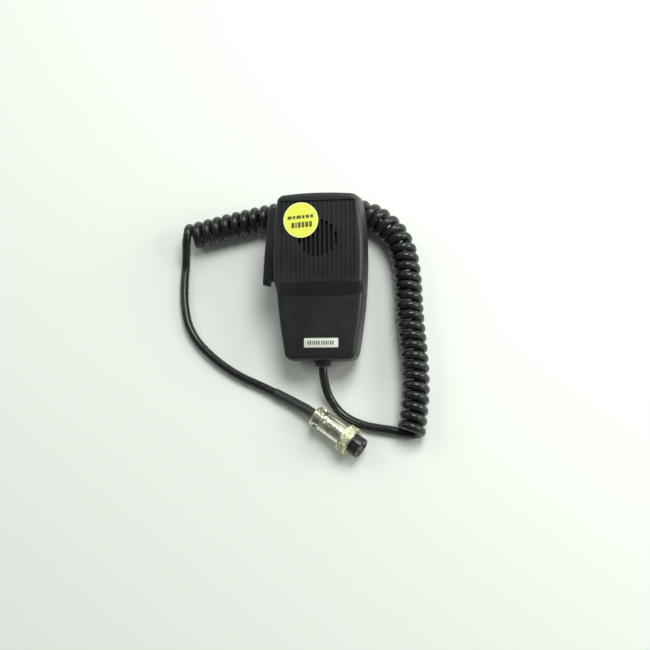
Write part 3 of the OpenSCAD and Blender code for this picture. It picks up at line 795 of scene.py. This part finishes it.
def rib(x):
    """One grille rib with a rounded top, running the length of the recess."""
    half = RIB_W / 2
    root = RECESS_FLOOR - 0.4
    section = [
        (-half, root), (half, root), (half, RIB_TOP - 0.35), (half * 0.72, RIB_TOP - 0.1), (0, RIB_TOP),
        (-half * 0.72, RIB_TOP - 0.1), (-half, RIB_TOP - 0.35),
    ]
    y0 = GRILLE_MID_Y - RECESS_L / 2
    y1 = GRILLE_MID_Y + RECESS_L / 2
    verts = [(x + dx, y, z) for y in (y0 - 0.3, y1 + 0.3) for dx, z in section]
    n = len(section)
    faces = [tuple(range(n)), tuple(range(2 * n - 1, n - 1, -1))]
    faces += [(i, (i + 1) % n, n + (i + 1) % n, n + i) for i in range(n)]
    return raw("rib", verts, faces)


def sound_slot(x):
    """One slot between two ribs, as long as the round sound opening is there."""
    reach = math.sqrt(SOUND_R ** 2 - max(0.0, abs(x) - 0.5) ** 2)
    outline = rounded_box_outline(x - SLOT_W / 2, x + SLOT_W / 2, SOUND_Y - reach, SOUND_Y + reach, 0.5, 3)
    return raw("slot", *prism(outline, RECESS_FLOOR - 4, RIB_TOP + 0.5))


def front_shell():
    ramp_rows = [SLOPE_TOP + 0.9, SLOPE_TOP + 0.25, SLOPE_TOP, SLOPE_TOP - 0.25, SLOPE_TOP - 0.9]
    ramp_rows += [SLOPE_FOOT - SLOPE_BOW * k / 8 + 0.2 for k in range(-4, 13)]
    shell = case_half("front_shell_moulding", front_height, 0.9, 2.6, 1, ramp_rows)
    combine(shell, cavity(-2, PANEL_H - 2.4, 2.0), "DIFFERENCE")
    upper = raw("upper", *box(-24, 24, -3, 49, PANEL_H - 3, GRILLE_H - 3.4))
    combine(shell, upper, "DIFFERENCE")
    side = RECESS_W / 2
    reach = RECESS_L / 2
    recess = rounded_box_outline(-side, side, GRILLE_MID_Y - reach, GRILLE_MID_Y + reach, 1.2)
    combine(shell, raw("recess", *prism(recess, RECESS_FLOOR, GRILLE_H + 0.3, 0.45)), "DIFFERENCE")
    ribs = joined("ribs", [rib((i - (RIB_COUNT - 1) / 2) * RIB_PITCH) for i in range(RIB_COUNT)])
    combine(shell, ribs, "UNION")
    slots = joined("slots", [sound_slot((i - SLOT_COUNT // 2) * RIB_PITCH) for i in range(SLOT_COUNT)])
    combine(shell, slots, "DIFFERENCE")
    combine(shell, lever_window(), "DIFFERENCE")
    combine(shell, gland_hole(), "DIFFERENCE")
    done = settle(shell, CASE, case_mat)
    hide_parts("front_shell")


def back_shell():
    shell = case_half("back_shell_moulding", lambda x, y: REAR_H, 1.3, 2.2, -1, [])
    combine(shell, cavity(-REAR_H + 2, 2, 2.2), "DIFFERENCE")
    combine(shell, lever_window(), "DIFFERENCE")
    combine(shell, gland_hole(), "DIFFERENCE")
    pads = joined("pads", [cylinder(x, y, -REAR_H + 0.3, -REAR_H + 6, 3.4) for x, y in CASE_SCREWS])
    combine(shell, pads, "UNION")
    wells = joined("wells", [cylinder(x, y, -REAR_H - 1, -REAR_H + 2.6, 3.0) for x, y in CASE_SCREWS])
    combine(shell, wells, "DIFFERENCE")
    done = settle(shell, CASE, case_mat)
    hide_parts("back_shell")


front_shell()
back_shell()


# ==== Press-to-talk lever ====
LEVER_OUTER = [(-31.6, LEVER_TOP), (-33, 41.5), (-34.6, 26), (-35.9, 12), (-36.7, 0), (-37, LEVER_END)]
LEVER_WALL = 1.6
GROOVE_COUNT = 7
GROOVE_PITCH = 2.6
SPRING_TURNS = 7
SPRING_STEPS = 20           # points in a turn
SPRING_WIRE = 0.6
SPRING_R = 2.2
SPRING_SEAT_X = -20.8
SPRING_OUTER_X = -28.0


def lever_groove(i):
    """One grip groove across the lever's slanting face."""
    y = 3 + GROOVE_PITCH * i
    reach = LEVER_W / 2 + 1
    return raw("groove", *box(-38.4, -36.35 + 0.055 * i, y, y + 0.8, -reach, reach))


def lever():
    """A hollow bar with a lip at its lower end, two ears on the pin and a finger for the switch."""
    half = LEVER_W / 2
    blank = [(-26.2, LEVER_TOP)] + LEVER_OUTER + [(-34.6, LEVER_END), (-34.4, -1.8), (-26.2, -1.8)]
    body = raw("ptt_lever_moulding", *prism(blank, -half, half))
    bevel(body, 1.1, 4, 25)
    hollow = [(-20, 41.5), (-30.6, 41.5), (-32, 26), (-33.3, 12), (-33.3, 0.2), (-33.3, -10), (-20, -10)]
    combine(body, raw("hollow", *prism(hollow, -half + LEVER_WALL, half - LEVER_WALL)), "DIFFERENCE")
    combine(body, joined("grooves", [lever_groove(i) for i in range(GROOVE_COUNT)]), "DIFFERENCE")
    ear = [(-27, LEVER_TOP - 1), (-24.5, 42.2), (-21.4, 40.5), (-21.4, 38.2), (-26.5, 34)]
    ears = joined("ears", [raw("ear", *prism(ear, z, z + LEVER_WALL)) for z in (-half, half - LEVER_WALL)])
    combine(body, ears, "UNION")
    combine(body, cylinder(PIVOT.x, PIVOT.y, -half - 2, half + 2, 1.05), "DIFFERENCE")
    combine(body, raw("finger", *box(-34, -25.15, 9.9, 13.1, -half + 0.5, half - 0.5)), "UNION")
    done = settle(body, CASE, lever_mat, "lever")
    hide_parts("ptt_lever")


def return_spring():
    """The spring at its pressed length, so that it stays inside the lever at every angle."""
    count = SPRING_TURNS * SPRING_STEPS
    line = []
    for i in range(count + 1):
        a = 2 * math.pi * i / SPRING_STEPS
        x = SPRING_SEAT_X + (SPRING_OUTER_X - SPRING_SEAT_X) * i / count
        line.append(CASE @ Vector((x, SPRING_R * math.cos(a), SPRING_R * math.sin(a))) / MM)
    coil = tube("ptt_return_spring_coil", line, SPRING_WIRE, strap_mat)
    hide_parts("ptt_return_spring")


lever()
return_spring()


# ==== Gland, hang button, stickers ====
GLAND_L = 4.5


def gland():
    """The flared grommet that the cord leaves the case through, with its collar inside the case."""
    profile = [
        (2.85, -4.4), (5.2, -4.4), (5.4, -4.2), (5.4, -2.9), (5.2, -2.7), (4.1, -2.7), (4.1, 0.0),
        (5.7, 0.0), (5.95, 0.3), (5.95, 0.9), (5.7, 1.5), (5.3, 2.2), (4.95, 2.9), (4.8, 3.3), (4.8, 4.0),
        (4.6, GLAND_L - 0.15), (4.3, GLAND_L), (3.2, GLAND_L), (2.85, GLAND_L - 0.3),
    ]
    turned = raw("cord_gland_moulding", *lathe(profile, 56, closed=True))
    place = CASE @ Matrix.Translation((0, -CASE_HALF_L, 0)) @ Matrix.Rotation(math.radians(90), 4, "X")
    done = settle(turned, place, gland_mat, sharp=50)
    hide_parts("cord_gland")


def hang_button():
    """The button on the back that slides into a hang-up bracket."""
    profile = [
        (1.5, 0.0), (5.4, 0.0), (5.1, 0.25), (5.0, 0.6), (5.0, 3.6), (5.3, 3.95), (7.4, 4.0), (7.85, 4.25),
        (8.0, 4.7), (8.0, 6.0), (7.8, 6.5), (7.2, 6.85), (6.2, 7.0), (3.6, 7.0), (3.3, 6.8), (3.2, 6.4),
        (3.2, 4.62), (1.5, 4.62),
    ]
    turned = raw("hang_button_moulding", *lathe(profile, 64, closed=True))
    place = CASE @ Matrix.Translation((0, 14, -REAR_H)) @ Matrix.Rotation(math.radians(180), 4, "X")
    done = settle(turned, place, button_mat)
    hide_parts("hang_button")


STICKER_AT = (-10.3, 34.1)
STICKER_R = 11.0
STICKER_FACE_R = 10.0
LABEL_AT = (1.1, -41.7)
LABEL_SIZE = (21.5, 5.8)


def sticker():
    """A round yellow sticker with a pale rim and two rows of plain dashes."""
    profile = [
        (STICKER_R, 0.0), (STICKER_R, 0.09), (STICKER_R - 0.06, 0.14), (STICKER_FACE_R + 0.05, 0.15),
        (STICKER_FACE_R, 0.15), (STICKER_R * 0.5, 0.15), (0.001, 0.15), (0.001, 0.0),
    ]
    disc = raw("round_sticker_disc", *lathe(profile, 96))
    place = CASE @ Matrix.Translation((*STICKER_AT, RIB_TOP))
    done = settle(disc, place, sticker_mat)
    done.data.materials.append(sticker_rim_mat)
    centre = place @ Vector((0, 0, 0.1))
    for face in done.data.polygons:
        if (face.center - centre).length > STICKER_FACE_R * MM:
            face.material_index = 1
    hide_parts("round_sticker")
    # each row: its place up the sticker, its height, and its marks as (start, width)
    rows = [
        (1.9, 2.0, [(-8.3, 2.6), (-5.0, 1.6), (-2.7, 2.8), (0.8, 1.6), (3.1, 2.2), (6.0, 1.8)]),
        (-3.0, 3.4, [(-5.9, 1.9), (-3.4, 0.9), (-1.9, 1.9), (0.6, 1.6), (2.8, 1.9), (5.3, 1.7)]),
    ]
    slant = 0.07
    dashes = []
    for row, tall, marks in rows:
        for start, wide in marks:
            outline = rounded_box_outline(start, start + wide, row - tall / 2, row + tall / 2, 0.3, 3)
            dashes.append(raw("dash", *prism([(u, v + slant * u) for u, v in outline], 0.13, 0.175)))
    settle(joined("round_sticker_dashes", dashes), place, ink_mat)


def label():
    """A small white label with plain upright bars in place of lettering."""
    w, h = LABEL_SIZE
    place = CASE @ Matrix.Translation((*LABEL_AT, front_height(*LABEL_AT) + 0.02))
    outline = rounded_box_outline(-w / 2, w / 2, -h / 2, h / 2, 0.25)
    plate = raw("name_label_plate", *prism(outline, -0.25, 0.13))
    bevel(plate, 0.05, 2)
    done = settle(plate, place, label_mat)
    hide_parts("name_label")
    bars = []
    # the width of 0 is the gap between two groups of bars
    widths = [0.9, 1.0, 0.5, 0.9, 1.0, 1.0, 0.0, 0.9, 0.9, 1.1, 0.5, 0.9, 0.9]
    x = -w / 2 + 2.1
    for wide in widths:
        if wide:
            outline = rounded_box_outline(x, x + wide, -1.25, 1.25, 0.2, 2)
            bars.append(raw("bar", *prism(outline, 0.1, 0.155)))
        x += wide + 0.5
    settle(joined("name_label_bars", bars), place, label_ink_mat)


gland()
hang_button()
sticker()
label()


# ==== Plug (mm, its axis along +Z from the cord end to the nose) ====
CLAMP_L = 9.4
CLAMP_R = 6.6
BARREL_R = 6.5
RING_S = 24.0
RING_L = 6.6
RING_R = 9.1
FRONT_S = 30.6
NOSE_S = 37.4
NOSE_R = 6.45
SCREW_SPOTS = (-5.1, 5.1)
SCREW_S = 4.4
SEAT_Y = 2.6                # the screw heads' seats lie this high above the plug's axis
THREAD_R = 7.5
THREAD_DEPTH = 0.28
THREAD_PITCH = 1.0


def across(x, y, z, r, h):
    """A cylinder standing along the plug frame's +Y from a point."""
    obj = cylinder(0, 0, 0, h, r, 32)
    obj.data.transform(Matrix.Translation((x, y, z)) @ Matrix.Rotation(math.radians(-90), 4, "X"))
    return obj


def plug_barrel():
    """The turned barrel with its flange inside the ring, and the clamp's lower half behind it."""
    profile = [
        (5.2, CLAMP_L + 0.4), (6.2, CLAMP_L), (6.42, CLAMP_L + 0.12), (BARREL_R, CLAMP_L + 0.35),
        (BARREL_R, CLAMP_L + 1.2), (6.32, CLAMP_L + 1.4), (6.32, CLAMP_L + 1.75), (BARREL_R, CLAMP_L + 1.95),
        (BARREL_R, RING_S + 5.6), (7.2, RING_S + 5.6), (7.2, FRONT_S - 0.2), (7.0, FRONT_S),
        (5.65, FRONT_S), (5.6, 17.0), (5.2, 17.0),
    ]
    barrel = raw("plug_barrel_turned", *lathe(profile, 96, closed=True))
    shell = [
        (3.62, 0.25), (3.9, 0.0), (6.3, 0.0), (CLAMP_R, 0.3), (CLAMP_R, 1.5), (6.3, 1.9), (6.3, 2.3),
        (CLAMP_R, 2.7), (CLAMP_R, 6.6), (6.3, 7.0), (6.3, 7.5), (CLAMP_R, 7.9), (CLAMP_R, CLAMP_L),
        (6.3, CLAMP_L + 0.6), (3.62, CLAMP_L + 0.6),
    ]
    cradle = raw("cradle", *lathe(shell, 80, closed=True))
    combine(cradle, raw("top", *box(-10, 10, -0.6, 10, -1, CLAMP_L + 0.02)), "DIFFERENCE")
    combine(barrel, cradle, "UNION")
    for x in SCREW_SPOTS:
        combine(barrel, across(x, -10, SCREW_S, 0.95, 12), "DIFFERENCE")
    combine(barrel, across(0, 4, 14, 1.12, 6), "DIFFERENCE")
    done = settle(barrel, PLUG, nickel_mat)
    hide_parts("plug_barrel")


def plug_saddle():
    """The clamp's upper half, with a flat seat for each screw head."""
    shell = [
        (3.62, 0.7), (3.9, 0.45), (6.2, 0.45), (6.55, 0.8), (6.55, 1.7), (6.2, 2.0), (6.2, 6.8),
        (6.55, 7.1), (6.55, 8.5), (6.2, 8.9), (3.9, 8.9), (3.62, 8.6),
    ]
    saddle = raw("plug_saddle_pressed", *lathe(shell, 80, closed=True))
    combine(saddle, raw("below", *box(-10, 10, -10, 0.4, -1, 20)), "DIFFERENCE")
    for x in SCREW_SPOTS:
        seat = rounded_box_outline(x - 2.2, x + 2.2, SEAT_Y, 12, 0.3)
        combine(saddle, raw("seat", *prism(seat, 2.3, 6.5)), "DIFFERENCE")
        combine(saddle, across(x, -4, SCREW_S, 1.05, 12), "DIFFERENCE")
    done = settle(saddle, PLUG, nickel_mat)
    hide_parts("plug_clamp_saddle")


def cheese_head_screw(r, h, shank_r, shank_l):
    """A screw along +Z with its head below z = 0 and one slot across it."""
    slot_w = 0.55
    profile = [
        (0.001, shank_l), (shank_r - 0.2, shank_l), (shank_r, shank_l - 0.3), (shank_r, 0.0), (r, 0.0),
        (r, -h * 0.6), (r * 0.93, -h * 0.86), (r * 0.72, -h), (0.001, -h),
    ]
    screw = raw("screw", *lathe(profile, 40))
    slot = raw("slot", *box(-r - 1, r + 1, -slot_w / 2, slot_w / 2, -h - 1, -h * 0.45))
    combine(screw, slot, "DIFFERENCE")
    return screw


def clamp_screws():
    screws = []
    for i, x in enumerate(SCREW_SPOTS):
        screw = cheese_head_screw(1.9, 1.3, 0.9, 6.5)
        slot_turn = Matrix.Rotation(math.radians(20 + 65 * i), 4, "Z")
        upright = Matrix.Rotation(math.radians(90), 4, "X")
        screw.data.transform(Matrix.Translation((x, SEAT_Y, SCREW_S)) @ upright @ slot_turn)
        screws.append(screw)
    done = settle(joined("clamp_screw_pair", screws), PLUG, plug_screw_mat)
    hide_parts("plug_clamp_screws")


def knurl(a):
    """(radius, height) pairs of the diamond knurl at one angle of the ring, faded out at both rims."""
    count = 54
    rows = 14
    depth = 0.42
    slant = 0.11
    points = []
    for k in range(rows + 1):
        s = 0.75 + (RING_L - 1.5) * k / rows
        fade = min(1.0, k, rows - k)
        left = abs(math.sin(count / 2 * (a + s * slant)))
        right = abs(math.sin(count / 2 * (a - s * slant)))
        points.append((RING_R - depth * fade * (1 - min(left, right) ** 0.8), s))
    return points


def ring_thread():
    """(radius, height) pairs of the ring's thread, drawn as plain grooves, from the front to the back."""
    rows = 24
    front = RING_L - 0.5
    back = 1.6
    points = []
    for k in range(rows + 1):
        s = front - (front - back) * k / rows
        depth = THREAD_DEPTH * (0.5 - 0.5 * math.cos(2 * math.pi * s / THREAD_PITCH))
        points.append((THREAD_R + depth, s))
    return points


def coupling_ring():
    """The screw ring: diamond-knurled between two plain rims, threaded inside."""
    steps = 288
    back_rim = [(RING_R - 0.35, 0.0), (RING_R - 0.05, 0.25), (RING_R, 0.55)]
    front_rim = [(RING_R, RING_L - 0.55), (RING_R - 0.05, RING_L - 0.25), (RING_R - 0.35, RING_L)]
    collar = [(THREAD_R, 1.4), (6.8, 1.4), (6.8, 0.3), (7.1, 0.0)]
    inside = [(8.0, RING_L)] + ring_thread() + collar
    verts = []
    for i in range(steps):
        a = 2 * math.pi * i / steps
        column = back_rim + knurl(a) + front_rim + inside
        verts += [(r * math.cos(a), r * math.sin(a), s) for r, s in column]
    n = len(verts) // steps
    faces = []
    for i in range(steps):
        a, b = i * n, (i + 1) % steps * n
        for k in range(n):
            j = (k + 1) % n
            faces.append((a + k, b + k, b + j, a + j))
    ring = raw("coupling_ring_turned", verts, faces)
    place = PLUG @ Matrix.Translation((0, 0, RING_S))
    done = settle(ring, place, ring_mat, "screw_ring", 30)
    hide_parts("coupling_ring")


def plug_insert():
    """The black nose with its four contact holes and its keyway."""
    profile = [
        (0.001, 18.0), (5.6, 18.0), (5.6, FRONT_S), (NOSE_R, FRONT_S), (NOSE_R, FRONT_S + 0.9),
        (NOSE_R - 0.18, FRONT_S + 1.05), (NOSE_R - 0.18, FRONT_S + 1.35), (NOSE_R, FRONT_S + 1.5),
        (NOSE_R, NOSE_S - 0.45), (NOSE_R - 0.13, NOSE_S - 0.13), (NOSE_R - 0.45, NOSE_S), (5.2, NOSE_S),
        (5.0, NOSE_S - 0.35), (0.001, NOSE_S - 0.35),
    ]
    body = raw("plug_insert_moulding", *lathe(profile, 96))
    holes = []
    for k in range(4):
        a = math.radians(45 + 90 * k)
        holes.append(cylinder(3.2 * math.cos(a), 3.2 * math.sin(a), 10, NOSE_S + 1, 1.25, 32))
    combine(body, joined("holes", holes), "DIFFERENCE")
    keyway = raw("keyway", *box(-1.1, 1.1, NOSE_R - 1.3, NOSE_R + 2, FRONT_S + 1, NOSE_S + 2))
    combine(body, keyway, "DIFFERENCE")
    done = settle(body, PLUG, insert_mat)
    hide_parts("plug_insert")


plug_barrel()
plug_saddle()
clamp_screws()
coupling_ring()
plug_insert()


# ==== The CAD's own pieces that stay ====
KEPT = {
    "dust_screen": screen_mat, "capsule_gasket": foam_mat, "mic_capsule": capsule_mat,
    "capsule_terminals": brass_mat, "capsule_strap": strap_mat, "capsule_strap_screws": screw_mat,
    "ptt_pivot_pin": screw_mat, "switch_body": switch_mat, "switch_plunger": plunger_mat,
    "switch_screws": screw_mat, "switch_terminals": brass_mat,
    "inner_leads": core_mat, "cord_inner_end": cord_mat, "cord_clamp": strap_mat,
    "cord_clamp_screws": screw_mat, "case_screws": screw_mat, "hang_button_screw": screw_mat,
    "plug_set_screw": plug_screw_mat, "plug_contacts": brass_mat, "plug_leads": core_mat,
    "ring_washer": strap_mat,
}
for node, mat in KEPT.items():
    kept = frame["nodes"][node]
    kept.data.materials.clear()
    kept.data.materials.append(mat)
